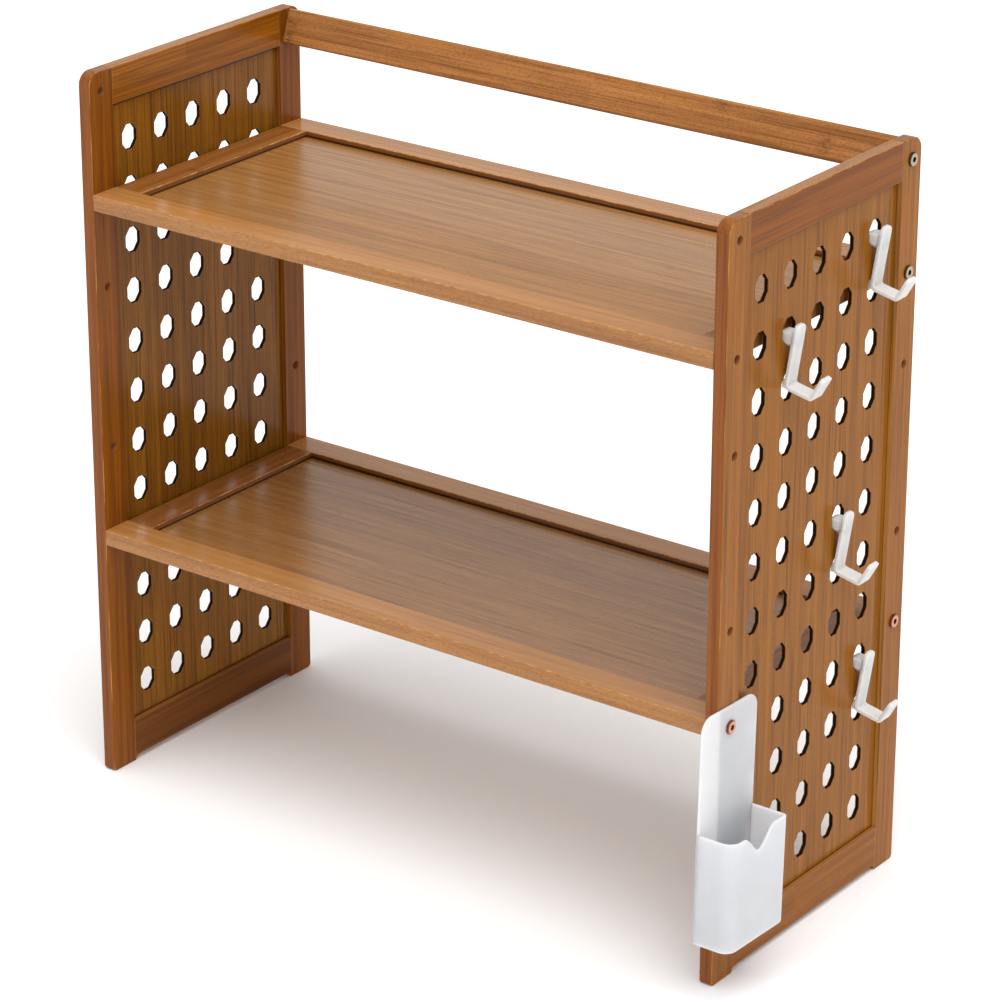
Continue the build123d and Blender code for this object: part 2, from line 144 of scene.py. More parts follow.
class BambooFinish:
    """Laminated bamboo in the making: its node tree, its colour so far, and each point's place and facing."""

    def __init__(self, name, grain):
        self.material, self.tree, self.output = new_material(name)
        self.grain = grain
        coords = node(self.tree, "TexCoord")
        self.place = coords.outputs["Object"]
        self.where = node(self.tree, "SeparateXYZ", Vector=self.place).outputs
        self.facing = node(self.tree, "SeparateXYZ", Vector=coords.outputs["Normal"]).outputs

    def marks(self, width, length, detail, shown, strength=1.0):
        """Noise drawn out along the grain, from nothing to full strength over the range of it that shows."""
        spot = node(self.tree, "VectorMath", TIMES, i0=self.place, i1=spread(self.grain, width, length))
        noise = node(self.tree, "TexNoise", Vector=spot, Scale=1.0, Detail=detail, Roughness=MARK_ROUGHNESS)
        return node(self.tree, "MapRange", Value=noise, From_Min=shown[0], From_Max=shown[1], To_Max=strength)

    def nearest(self, axis, places):
        """How far a point is from the nearest of some places along an axis."""
        offsets = [node(self.tree, "Math", MINUS, i0=self.where[axis], i1=one) for one in places]
        gaps = [node(self.tree, "Math", SIZE_OF, i0=offset) for offset in offsets]
        least = gaps[0]
        for gap in gaps[1:]:
            least = node(self.tree, "Math", SMALLER, i0=least, i1=gap)
        return least

    def turned(self, axis, none_at, full_at, strength=1.0):
        """How far a face turns to an axis, either way along it."""
        side = node(self.tree, "Math", SIZE_OF, i0=self.facing[axis])
        return node(self.tree, "MapRange", Value=side, From_Min=none_at, From_Max=full_at, To_Max=strength)

    def stain_and_shade(self, share, hex_colour):
        """Lay a share of one colour over the wood: used for the wood's own marks and for painted shadow,
        highlight and light.
        """
        self.colour = node(self.tree, "Mix", BLEND, Factor=share, A=self.colour, B=linear(hex_colour))

    def toned(self, tones):
        """The darkest and the lightest tone, mixed by the strips."""
        return node(self.tree, "Mix", BLEND, Factor=self.tone, A=linear(tones[0]), B=linear(tones[1]))

    def stain_and_shade_strips(self, share, tones):
        """Lay a share of other tones over the wood, mixed by the same strips: used for the wood's own tones
        and for tones of painted light and shade.
        """
        self.colour = node(self.tree, "Mix", BLEND, Factor=share, A=self.colour, B=self.toned(tones))

    def lay_strips(self, across, strip, strip_share, tones):
        """Each strip of the lamination has its own tone, and drifts slowly along its length."""
        cell = np.full(3, 1 / (PIECE_SPACING * MM))
        cell[AXES[self.grain]] = 0
        cell[AXES[across]] = 1 / (strip * MM)
        spot = node(self.tree, "VectorMath", TIMES, i0=self.place, i1=tuple(cell))
        number = node(self.tree, "VectorMath", {"operation": "FLOOR"}, i0=spot)
        self.strip_tone = node(self.tree, "TexWhiteNoise", {"noise_dimensions": "3D"}, Vector=number)
        drift = self.marks(strength=1 - strip_share, **DRIFT)
        self.tone = node(self.tree, "Math", TIMES_PLUS, i0=self.strip_tone, i1=strip_share, i2=drift)
        self.colour = self.toned(tones)

    def paint_inside_light_and_shade(self, tones, lines, inner_lines):
        """Painted light and shade on the faces that look into the rack, as other tones there. Gives the
        strength of the fibres' lines.
        """
        inward = node(self.tree, "Math", TIMES, i0=self.facing["X"], i1=self.where["X"])
        on_inside = node(self.tree, "MapRange", Value=inward, From_Min=INWARD[0], From_Max=INWARD[1])
        self.stain_and_shade_strips(on_inside, tones)
        return node(self.tree, "MapRange", Value=on_inside, To_Min=lines, To_Max=inner_lines)

    def stain_and_shade_edges(self, edges, flecks):
        """Other tones on the edge faces: some the wood's own, and some painted light and painted shade. Gives
        the strength of the vessel marks, which the last one sets.
        """
        for (axis, turned_none, turned_full), (near_axis, planes, none_at, full_at), tones in edges:
            at_plane = node(self.tree, "MapRange", Value=self.nearest(near_axis, planes),
                            From_Min=none_at * MM, From_Max=full_at * MM)
            turned = self.turned(axis, turned_none, turned_full)
            on_edge = node(self.tree, "Math", TIMES, i0=at_plane, i1=turned)
            self.stain_and_shade_strips(on_edge, tones)
        return node(self.tree, "MapRange", Value=on_edge, To_Min=FLECKS_OFF_EDGE * flecks,
                    To_Max=FLECKS_ON_EDGE * flecks)

    def yellow_patches(self):
        """Patches where the colour is yellower."""
        self.colour = node(self.tree, "Mix", TINT, Factor=self.marks(**PATCH), A=self.colour, B=YELLOWER)

    def draw_fibres(self, fibre_width, line, line_share, fleck_share):
        """Fibres, and the short dark vessels between them. Gives the fibres."""
        fibre = self.marks(fibre_width, **FIBRE)
        vessel = self.marks(**VESSEL)
        self.stain_and_shade(node(self.tree, "Math", TIMES, i0=fibre, i1=line_share), line)
        self.stain_and_shade(node(self.tree, "Math", TIMES, i0=vessel, i1=fleck_share), line)
        return fibre

    def ring_knuckles(self, line, spacing, half, strength):
        """Mottled dark rings at the cane's joints, spaced alike but set off along each strip."""
        along = node(self.tree, "Math", TIMES_PLUS, i0=self.where[self.grain], i1=1 / (spacing * MM),
                     i2=self.strip_tone)
        share = node(self.tree, "Math", {"operation": "FRACT"}, i0=along)
        off = node(self.tree, "Math", SIZE_OF, i0=node(self.tree, "Math", MINUS, i0=share, i1=0.5))
        ring = node(self.tree, "MapRange", SMOOTH, Value=off, From_Min=half / spacing, From_Max=0.0,
                    To_Max=strength)
        self.stain_and_shade(node(self.tree, "Math", TIMES, i0=ring, i1=self.marks(**MOTTLE)), line)

    def rub_arrises(self, axis, worn, strength, run):
        """Bare wood in short runs where the lacquer is rubbed off the arrises. The facing's square, times one
        less that square, is nothing on a flat face and largest on one that slants by 45 degrees."""
        square = node(self.tree, "Math", TIMES, i0=self.facing[axis], i1=self.facing[axis])
        rest = node(self.tree, "Math", MINUS, i0=1.0, i1=square)
        slope = node(self.tree, "Math", TIMES, i0=square, i1=rest)
        on_arris = node(self.tree, "MapRange", Value=slope, From_Min=ARRIS_SLOPE[0], From_Max=ARRIS_SLOPE[1])
        rubs = self.marks(length=run, strength=strength, **RUB)
        self.stain_and_shade(node(self.tree, "Math", TIMES, i0=on_arris, i1=rubs), worn)

    def paint_shading_line(self, axis, places, half, hex_colour, strength, near):
        """A fine line of painted shadow, where it is dark, and of painted highlight, where it is pale, along
        the places on an axis, kept near other places where they are given.
        """
        drawn = node(self.tree, "MapRange", SMOOTH, Value=self.nearest(axis, places), From_Min=half * MM,
                     From_Max=0.0, To_Max=strength)
        if near:
            near_axis, near_places, reach = near
            kept = node(self.tree, "MapRange", Value=self.nearest(near_axis, near_places),
                        From_Min=reach * MM, From_Max=SHADING_LINE_FULL_SHARE * reach * MM)
            drawn = node(self.tree, "Math", TIMES, i0=drawn, i1=kept)
        self.stain_and_shade(drawn, hex_colour)

    def paint_light_in_bores(self, hex_colour, rows, highest):
        """Painted light on the walls of the bolt holes, lighter than the shade that falls deep in them: faces
        turned from
        X, close to the holes' rows and below a height.
        """
        beside = node(self.tree, "MapRange", Value=self.nearest("Y", rows), From_Min=BORE_REACH[0] * MM,
                      From_Max=BORE_REACH[1] * MM)
        under = node(self.tree, "Math", BELOW, i0=self.where["Z"], i1=highest)
        side = node(self.tree, "Math", SIZE_OF, i0=self.facing["X"])
        on_wall = node(self.tree, "Math", BELOW, i0=side, i1=BORE_FACING)
        low_wall = node(self.tree, "Math", TIMES, i0=under, i1=on_wall)
        self.stain_and_shade(node(self.tree, "Math", TIMES, i0=beside, i1=low_wall), hex_colour)

    def scorch_cuts(self, rough, hex_colour, middles, half_thick):
        """Edges cut through a board: faces turned from X, deeper than its faces. Gives the roughness, which
        is full there."""
        deep = node(self.tree, "MapRange", Value=self.nearest("X", middles),
                    From_Min=half_thick - SCORCH_DEPTH[0] * MM, From_Max=half_thick - SCORCH_DEPTH[1] * MM)
        cut = node(self.tree, "Math", TIMES, i0=deep, i1=self.turned("X", *SCORCH_FACING, SCORCH_STRENGTH))
        self.stain_and_shade(cut, hex_colour)
        return node(self.tree, "Mix", Factor=cut, A=rough, B=1.0)

    def lacquer(self, fibre, rough, gleam):
        """A clear film over the colour, ridged a little by the fibres. Gives the finished material."""
        ridge = node(self.tree, "Bump", Strength=FIBRE_RIDGE_STRENGTH, Distance=FIBRE_RIDGE * MM,
                     Height=fibre)
        shader = node(self.tree, "BsdfPrincipled", Base_Color=self.colour, Roughness=rough, IOR=LACQUER_IOR,
                      Specular_IOR_Level=gleam, Normal=ridge)
        self.tree.links.new(shader.outputs[0], self.output.inputs["Surface"])
        return self.material


def bamboo(name, grain, across, tones, line, worn, arris, strip=18.0, strip_share=0.3, lines=0.3,
           inner_lines=0.3, fibre_width=1.2, flecks=0.25, wear=(0.4, 12.0), gloss=(0.18, 0.30), gleam=0.12,
           inner=None, edges=(), bore=None, shading_lines=(), burnt=None, knuckle=None):
    """Laminated bamboo, carbonised brown, planed and lacquered: strips of uneven tone with yellower patches,
    fibres along the grain, short dark vessel marks and rubbed arrises, with painted light and shade: lines of
    painted shadow and highlight at the joints, and lighter and darker tones painted on faces by the light
    that falls on them.

    tones are the darkest and lightest strip, line the fibres, worn the bare wood on the arrises, and arris
    the axis whose faces the arrises border. strip and fibre_width are in millimetres. wear is how strongly
    the arrises are rubbed and the length of a run, and gloss the roughness beside the fibres and on them.
    inner gives the two tones of painted light and shade on the faces that look into the rack. edges are for
    edge faces: an axis with how much a face turns to it, from none to full, an axis with places and the
    distances from them, from none to full, and the two tones, some the wood's own and some painted light and
    shade. bore is for painted light on the walls of bolt holes: colour, rows along Y and a height that they
    stay below. seams are fine lines of painted shadow and highlight: axis, places, half width, colour,
    strength, and None or the axis, places and reach that they keep to. burnt is for edges cut through the
    board: colour, the middles of its thickness and half of it. knuckle is the spacing, half width and
    strength of the cane's joints.
    """
    wood = BambooFinish(name, grain)
    wood.lay_strips(across, strip, strip_share, tones)
    line_share = wood.paint_inside_light_and_shade(inner, lines, inner_lines) if inner else lines
    fleck_share = wood.stain_and_shade_edges(edges, flecks) if edges else flecks
    wood.yellow_patches()
    fibre = wood.draw_fibres(fibre_width, line, line_share, fleck_share)
    if knuckle:
        wood.ring_knuckles(line, *knuckle)
    wood.rub_arrises(arris, worn, *wear)
    # Fine lines of painted shadow and painted highlight at the joints
    for shading_line in shading_lines:
        wood.paint_shading_line(*shading_line)
    if bore:
        # Painted light on the walls of the bolt holes
        wood.paint_light_in_bores(*bore)
    rough = node(wood.tree, "MapRange", Value=fibre, To_Min=gloss[0], To_Max=gloss[1])
    if burnt:
        rough = wood.scorch_cuts(rough, *burnt)
    return wood.lacquer(fibre, rough, gleam)


# Clouds and moulded grain of the plastic, which is finer on a real moulding and coarser here so that it shows
CLOUD_SIZE = 18.0
CLOUD_TONES_SHOWN = (0.35, 0.65)
CLOUD_ROUGHNESS_SHOWN = (0.3, 0.7)
PLASTIC_RIDGE = 0.05
PLASTIC_RIDGE_STRENGTH = 0.12
PLASTIC_IOR = 1.5


def plastic(name, tones, roughness, cloudiness, depth, speck, gleam):
    """Moulded plastic: faint clouding of its colour, a fine moulded grain, and light that passes a little
    way under the surface. depth is that way in millimetres and speck the size of the grain."""
    material, tree, output = new_material(name)
    place = node(tree, "TexCoord").outputs["Object"]
    cloud = node(tree, "TexNoise", Vector=place, Scale=1 / (CLOUD_SIZE * MM), Detail=3.0)
    share = node(tree, "MapRange", Value=cloud, From_Min=CLOUD_TONES_SHOWN[0], From_Max=CLOUD_TONES_SHOWN[1])
    colour = node(tree, "Mix", BLEND, Factor=share, A=linear(tones[0]), B=linear(tones[1]))
    grain = node(tree, "TexNoise", Vector=place, Scale=1 / (speck * MM), Detail=2.0)
    rough = node(tree, "MapRange", Value=cloud, From_Min=CLOUD_ROUGHNESS_SHOWN[0],
                 From_Max=CLOUD_ROUGHNESS_SHOWN[1], To_Min=roughness[0], To_Max=roughness[1])
    ridge = node(tree, "Bump", Strength=PLASTIC_RIDGE_STRENGTH, Distance=PLASTIC_RIDGE * MM, Height=grain)
    shader = node(tree, "BsdfPrincipled", Base_Color=colour, Roughness=rough, IOR=PLASTIC_IOR,
                  Specular_IOR_Level=gleam, Normal=ridge, Subsurface_Weight=cloudiness,
                  Subsurface_Radius=(1.0, 1.0, 1.0), Subsurface_Scale=depth * MM)
    tree.links.new(shader.outputs[0], output.inputs["Surface"])
    return material


# Smudges and scratches of the metal, the scratches wider than real ones so that they show
SMUDGE_SIZE = 2.0
SCRATCH_WIDTH = 0.3
SCRATCH_LENGTH = 2.4
SCRATCHES_SHOWN = (0.3, 0.7)
SCRATCH_RIDGE = 0.03
SCRATCH_RIDGE_STRENGTH = 0.15
# Facing along X where a bolt head's flat face ends and where its slope is full
HEAD_SLOPE = (0.97, 0.75)


def plated(name, tones, rim, roughness):
    """Turned or plated metal: its tone clouds a little where fingers have touched it, with fine scratches,
    and a painted shade, in the colour rim, darkens it where a head turned about X slopes away from its flat
    face."""
    material, tree, output = new_material(name)
    coords = node(tree, "TexCoord")
    place = coords.outputs["Object"]
    smudge = node(tree, "TexNoise", Vector=place, Scale=1 / (SMUDGE_SIZE * MM), Detail=3.0)
    colour = node(tree, "Mix", BLEND, Factor=smudge, A=linear(tones[0]), B=linear(tones[1]))
    facing = node(tree, "SeparateXYZ", Vector=coords.outputs["Normal"])
    flat = node(tree, "Math", SIZE_OF, i0=facing.outputs["X"])
    # Painted shade on a head's slope, where it turns away from its flat face
    slope_shade = node(tree, "MapRange", Value=flat, From_Min=HEAD_SLOPE[0], From_Max=HEAD_SLOPE[1])
    colour = node(tree, "Mix", BLEND, Factor=slope_shade, A=colour, B=linear(rim))
    drawn = node(tree, "VectorMath", TIMES, i0=place, i1=spread("Y", SCRATCH_WIDTH, SCRATCH_LENGTH))
    lines = node(tree, "TexNoise", Vector=drawn, Scale=1.0, Detail=3.0)
    rough = node(tree, "MapRange", Value=lines, From_Min=SCRATCHES_SHOWN[0], From_Max=SCRATCHES_SHOWN[1],
                 To_Min=roughness[0], To_Max=roughness[1])
    ridge = node(tree, "Bump", Strength=SCRATCH_RIDGE_STRENGTH, Distance=SCRATCH_RIDGE * MM, Height=lines)
    shader = node(tree, "BsdfPrincipled", Base_Color=colour, Metallic=1.0, Roughness=rough, Normal=ridge)
    tree.links.new(shader.outputs[0], output.inputs["Surface"])
    return material


# Places of the joints and faces, where lines of painted shadow and highlight and other tones go, read from
# the imported nodes
BORES_BELOW_TOP = 2.0 * MM
SHADE_BELOW_TOP_RAIL = 1.7 * MM
SHADE_ABOVE_BOTTOM_RAIL = 0.2 * MM
GAP_ABOVE_BOARD = 0.4 * MM
post_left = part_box("left_front_post")
post_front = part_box("right_front_post")
post_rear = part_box("right_rear_post")
top_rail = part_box("right_top_rail")
bottom_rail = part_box("right_bottom_rail")
front_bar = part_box("upper_shelf_front_bar")
rear_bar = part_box("upper_shelf_rear_bar")
left_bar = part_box("upper_shelf_left_bar")
right_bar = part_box("upper_shelf_right_bar")
boards = [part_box("upper_shelf_board"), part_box("lower_shelf_board")]
panels = [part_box("left_panel"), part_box("right_panel")]
post_tops = [post_front[1].z]
post_outsides = [post_left[0].x, post_front[1].x]
bolt_rows = [(box[0].y + box[1].y) / 2 for box in (post_front, post_rear)]
bores_end = post_front[1].z - BORES_BELOW_TOP
rail_tops = [top_rail[1].z]
panel_sides = [post_front[1].y, post_rear[0].y]
panel_ends = [top_rail[0].z, bottom_rail[1].z]
panel_shades = [panel_ends[0] - SHADE_BELOW_TOP_RAIL, panel_ends[1] + SHADE_ABOVE_BOTTOM_RAIL]
panel_middles = [(box[0].x + box[1].x) / 2 for box in panels]
panel_half = (panels[1][1].x - panels[1][0].x) / 2
bar_faces = [front_bar[0].y, rear_bar[1].y]
board_ends = [left_bar[1].x, right_bar[0].x]
board_sides = [front_bar[1].y, rear_bar[0].y]
board_gaps = [box[1].z + GAP_ABOVE_BOARD for box in boards]
# Pale lines of painted highlight where light catches the rails' edges at the posts and along the panel
rail_highlight_lines = [("Y", panel_sides, 0.6, "b88254", 0.6, None), ("Z", panel_ends, 0.5, "b88450", 0.4, None)]

# One finish for each material slot. The bamboo ones differ in grain, tone and wear, and in the light and
# shade painted on them.
finishes = {
    # Upright fibres under a satin film, painted light on the walls beside the panel and in the bolt holes,
    # painted shade on the faces that look into the rack, darker edges and tops, and long bare runs down the
    # arrises
    "bamboo_post": bamboo(
        "stained_bamboo_post", "Z", "Y", ("875018", "a26520"), "5a3214", "c88c54", "X", strip=11.0, lines=0.5,
        # The inner tones are painted shade on the faces that look into the rack
        inner=("6e3a07", "985814"), inner_lines=0.5, fibre_width=1.5, wear=(0.75, 40.0),
        # Painted light on the walls of the bolt holes
        bore=("94603a", bolt_rows, bores_end),
        # The first tones are painted light on the walls beside the panel
        edges=[(("X", 0.6, 0.4), ("X", post_outsides, 7.0, 6.0), ("a06d38", "ba8344")),
               (("X", 0.6, 0.4), ("Y", panel_sides, 1.0, 1.6), ("76421f", "96582b")),
               (("Z", 0.6, 0.8), ("Z", post_tops, 3.0, 1.0), ("804f27", "a36935"))]),
    # Fibres that lie level, painted light and sheen on the top edge, painted light on the faces that look
    # into the rack, and pale lines of painted highlight at the posts and the panel
    "bamboo_rail": bamboo(
        "stained_bamboo_rail", "Y", "Z", ("783f0b", "95530f"), "5a3214", "cc9458", "X", strip=12.5, lines=0.5,
        # The inner tones are painted light on the faces that look into the rack, and the pale lines are
        # painted highlights
        inner=("7d4608", "b26d18"), inner_lines=0.5, shading_lines=rail_highlight_lines,
        # The top face's tones are painted light and sheen
        edges=[(("Z", 0.6, 0.8), ("Z", rail_tops, 1.6, 1.0), ("95643b", "b88048"))]),
    # A thin sheet with close dark fibres, hole edges scorched black by the cutting, painted shade on the face
    # that looks into the rack, and dark lines of painted shadow round it where it goes into its grooves
    "bamboo_panel": bamboo(
        "stained_bamboo_panel", "Z", "Y", ("8a5311", "9f6318"), "4e2c11", "a2683a", "X", strip=17.0,
        # The inner tones are painted shade on the face that looks into the rack
        lines=0.5, inner=("7f4f10", "996419"), inner_lines=0.7, fibre_width=1.4,
        burnt=("0a0503", panel_middles, panel_half),
        # Dark lines of painted shadow where the panel goes in under the rails and beside the posts
        shading_lines=[("Y", panel_sides, 1.0, "341a0c", 0.8, None), ("Z", panel_shades, 1.2, "2a1408", 0.95, None)]),
    # Sanded smooth: pale and even with a mild sheen, with painted shade on the faces where it steps down to
    # the board, and a nearly black line of painted shadow at the foot of the step
    "bamboo_bar": bamboo(
        "stained_bamboo_bar", "X", "Y", ("a8703b", "c0884f"), "6e4220", "e0b880", "Z", strip=22.0,
        wear=(0.5, 5.0), gleam=0.42, gloss=(0.20, 0.30),
        # The first tones are painted shade on the step down to the board
        edges=[(("Y", 0.6, 0.8), ("Y", board_sides, 1.6, 1.0), ("74421a", "8f5624")),
               (("Y", 0.6, 0.8), ("Y", bar_faces, 1.6, 1.0), ("9c6633", "b98046"))],
        # A line of painted shadow at the foot of the step
        shading_lines=[("Z", board_gaps, 1.6, "1a0c06", 0.95, ("Y", board_sides, 1.0))]),
    # Redder short lengths, some with the mottled ring of a cane's joint, a pale line of painted highlight
    # where they meet the long bars, and a line of painted shadow at the foot of the step
    "bamboo_short_bar": bamboo(
        "stained_bamboo_short_bar", "Y", "X", ("7e481b", "a56a35"), "543014", "d8ac78", "Z", strip=22.0,
        wear=(0.6, 9.0), gleam=0.3, gloss=(0.24, 0.34), knuckle=(190.0, 5.0, 0.6),
        # A pale line of painted highlight where it meets the long bars, and a line of painted shadow at the
        # foot of its step
        shading_lines=[("Y", board_sides, 0.6, "d8ae7a", 0.5, None),
               ("Z", board_gaps, 0.9, "1a0c06", 0.95, ("X", board_ends, 1.0))]),
    # A wide board of nearly even strips under the glossiest film, which mirrors the room, with lines of
    # painted shadow round its rim
    "bamboo_board": bamboo(
        "stained_bamboo_board", "X", "Y", ("926231", "ac783d"), "5e3a1c", "a26a42", "Z", strip=21.0,
        strip_share=0.12, lines=0.42, fibre_width=1.5, wear=(0.1, 12.0), gleam=0.8, gloss=(0.26, 0.36),
        # Lines of painted shadow round its rim, where it meets the bars
        shading_lines=[("X", board_ends, 1.6, "1c0e08", 0.95, None), ("Y", board_sides, 2.0, "1c0e08", 0.95, None)]),
    # A lath with strong strips and vessel marks, and the mottled rings of a cane's joints
    "bamboo_back_rail": bamboo(
        "stained_bamboo_back_rail", "X", "Z", ("966134", "c3844b"), "5a3218", "c08850", "Z", strip=12.0,
        lines=0.5, flecks=0.4, wear=(0.15, 14.0), knuckle=(310.0, 8.0, 0.6)),
    # Turned brass: a warm yellow metal, half dull, with painted shade where a face slopes away from the flat
    "insert_brass": plated("turned_brass", ("a07c42", "c09a5c"), "8c6c3a", (0.3, 0.45)),
    # Nickel over steel: a warm grey that shines on the flat of a head, with painted shade on its slope
    "bolt_nickel": plated("nickel_plated_steel", ("94897a", "c0b5a0"), "5c4c38", (0.22, 0.38)),
    # Copper over steel: pink on the flat of a head, with a red-brown painted shade on its slope
    "bolt_copper": plated("copper_plated_steel", ("b4806a", "dca894"), "8c4c34", (0.22, 0.36)),
    # Moulded ABS: an even white with a soft sheen, a little of the light coming back from inside
    "hook_plastic": plastic("moulded_abs", ("d0d0ce", "d6d6d4"), (0.40, 0.52), 0.8, 6.0, 0.5, gleam=0.25),
    # Moulded polypropylene: a cool milky white whose thin walls take the light deep in and shade softly
    "cup_plastic": plastic("moulded_polypropylene", ("d3d5da", "d7d9de"), (0.45, 0.55), 0.9, 12.0, 0.6,
                           gleam=0.35),
}
# The bottom rails have painted shade, in darker tones, on the side that looks into the rack
low_rail = bamboo(
    "stained_bamboo_bottom_rail", "Y", "Z", ("7d4811", "9b5d16"), "5a3214", "cc9458", "X", strip=12.5,
    # The inner tones are painted shade, and the pale lines are painted highlights
    inner=("5c3107", "854e16"), shading_lines=rail_highlight_lines)
for part in frame["record"]["subparts"]:
    finish = low_rail if part["node"].endswith("bottom_rail") else finishes[part["material_slot"]]
    mesh = frame["nodes"][part["node"]].data
    mesh.materials.clear()
    mesh.materials.append(finish)

# The least radius that a set-in corner keeps, in millimetres, and the angle past which an edge looks sharp
LEAST_ROUND = 0.05
SHARP_ANGLE = radians(35)


def rounded_rings(low, high, radii, inset, round_steps, side_steps):
    """Rings of a rounded rectangle between two corners of a plane. Each corner is a quarter circle, and a
    ring set in by d keeps that circle's centre and takes d off its radius. The sides are straight."""
    turn = np.linspace(0, pi / 2, round_steps)
    inset = np.asarray(inset, float)[:, None]
    corners = [(low[0], low[1], 1, 1, pi), (high[0], low[1], -1, 1, 1.5 * pi),
               (high[0], high[1], -1, -1, 0.0), (low[0], high[1], 1, -1, 0.5 * pi)]
    arcs = []
    for (a, b, in_a, in_b, start), radius in zip(corners, radii):
        reach = np.maximum(radius, inset + LEAST_ROUND)
        left = reach - inset
        arcs.append(np.stack([a + in_a * reach + left * np.cos(start + turn),
                              b + in_b * reach + left * np.sin(start + turn)], axis=-1))
    share = np.linspace(0, 1, side_steps + 2)[1:-1, None]
    sides = [one[:, -1:] + share * (two[:, :1] - one[:, -1:]) for one, two in zip(arcs, arcs[1:] + arcs[:1])]
    return np.concatenate([run for pair in zip(arcs, sides) for run in pair], axis=1)


def rounding(radius, steps):
    """Inset and rise of a quarter-round edge, from the flat end to the side."""
    turn = np.linspace(0, pi / 2, steps)
    return radius * (1 - np.sin(turn)), radius * (1 - np.cos(turn))


def skin(shells):
    """Points and faces over closed shells of rings: four-sided faces join each ring to the next one, and
    one flat face closes the first and the last."""
    points, faces, start = [], [], 0
    for rings in shells:
        rows, around = rings.shape[:2]
        index = start + np.arange(rows * around).reshape(rows, around)
        after = np.roll(index, -1, axis=1)
        faces += np.stack([index[:-1], after[:-1], after[1:], index[1:]], axis=-1).reshape(-1, 4).tolist()
        faces += [index[0][::-1].tolist(), index[-1].tolist()]
        points.append(rings.reshape(-1, 3))
        start += rows * around
    return np.concatenate(points), faces


def add_piece(name, shells, body, slot, replaced):
    """Put closed shells, in millimetres, into one piece that rides on a body and stands for a node."""
    points, faces = skin(shells)
    mesh = bpy.data.meshes.new(name)
    mesh.from_pydata(points * MM, [], faces)
    mesh.polygons.foreach_set("use_smooth", np.ones(len(mesh.polygons), bool))
    mesh.set_sharp_from_angle(angle=SHARP_ANGLE)
    mesh.materials.append(finishes[slot])
    piece = bpy.data.objects.new(name, mesh)
    bpy.context.scene.collection.objects.link(piece)
    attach(piece, body)
    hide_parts(replaced)


# Pen cup: a plate and a pocket, both turned a little about the bolt that holds them, in millimetres from
# the middle of its hole. The pocket's back is thinner than its other walls and lies inside the plate.
CUP_WIDTH = 60.5
CUP_WALL = 1.8
CUP_BACK_SHARE = 0.8
CUP_DEPTH = 27.4
CUP_PLATE_RISE = 14.0
CUP_RIM_DROP = 61.9
CUP_BOTTOM_DROP = 136.4
CUP_PLATE_RADIUS = 10.0
CUP_FRONT_RADIUS = 9.0
CUP_REAR_RADIUS = 3.0
CUP_BOTTOM_RADIUS = 3.0
CUP_TURN = radians(1.9)
CUP_EDGE_ROUND = 0.7
CUP_INNER_ROUND = 2.0
CUP_OVERLAP = 0.15
CUP_EDGE_STEPS = 5
CUP_WALL_STEPS = 14
SCOOP_HALF = 17.0
SCOOP_DEPTH = 12.4
SCOOP_MIDDLE = -0.4
cup_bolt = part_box("cup_bolt")
cup_bolt_middle = [(cup_bolt[0].y + cup_bolt[1].y) / 2, (cup_bolt[0].z + cup_bolt[1].z) / 2]
cup_origin = np.array([post_front[1].x, *cup_bolt_middle]) / MM
cup_side = np.array([0, cos(CUP_TURN), -sin(CUP_TURN)])
cup_up = np.array([0, sin(CUP_TURN), cos(CUP_TURN)])
cup_out = np.array([1.0, 0, 0])


def cup_points(side, up, out):
    """Points of the cup from how far they lie to the side, up and out of the bolt hole's middle."""
    return (cup_origin + np.asarray(side)[..., None] * cup_side + np.asarray(up)[..., None] * cup_up
            + np.asarray(out)[..., None] * cup_out)


def cup_plate():
    """The plate: a rounded rectangle carried from its back to its face, set in along a quarter round at
    both edges."""
    inset, rise = rounding(CUP_EDGE_ROUND, CUP_EDGE_STEPS)
    insets = np.concatenate([inset, inset[::-1]])
    outs = np.concatenate([rise, CUP_WALL - rise[::-1]])
    half = CUP_WIDTH / 2 - CUP_OVERLAP
    corner, top = CUP_BOTTOM_RADIUS, CUP_PLATE_RADIUS
    rings = rounded_rings((-half, -CUP_BOTTOM_DROP + CUP_OVERLAP), (half, CUP_PLATE_RISE),
                          (corner, corner, top, top), insets, round_steps=12, side_steps=6)
    return cup_points(rings[..., 0], rings[..., 1], outs[:, None])


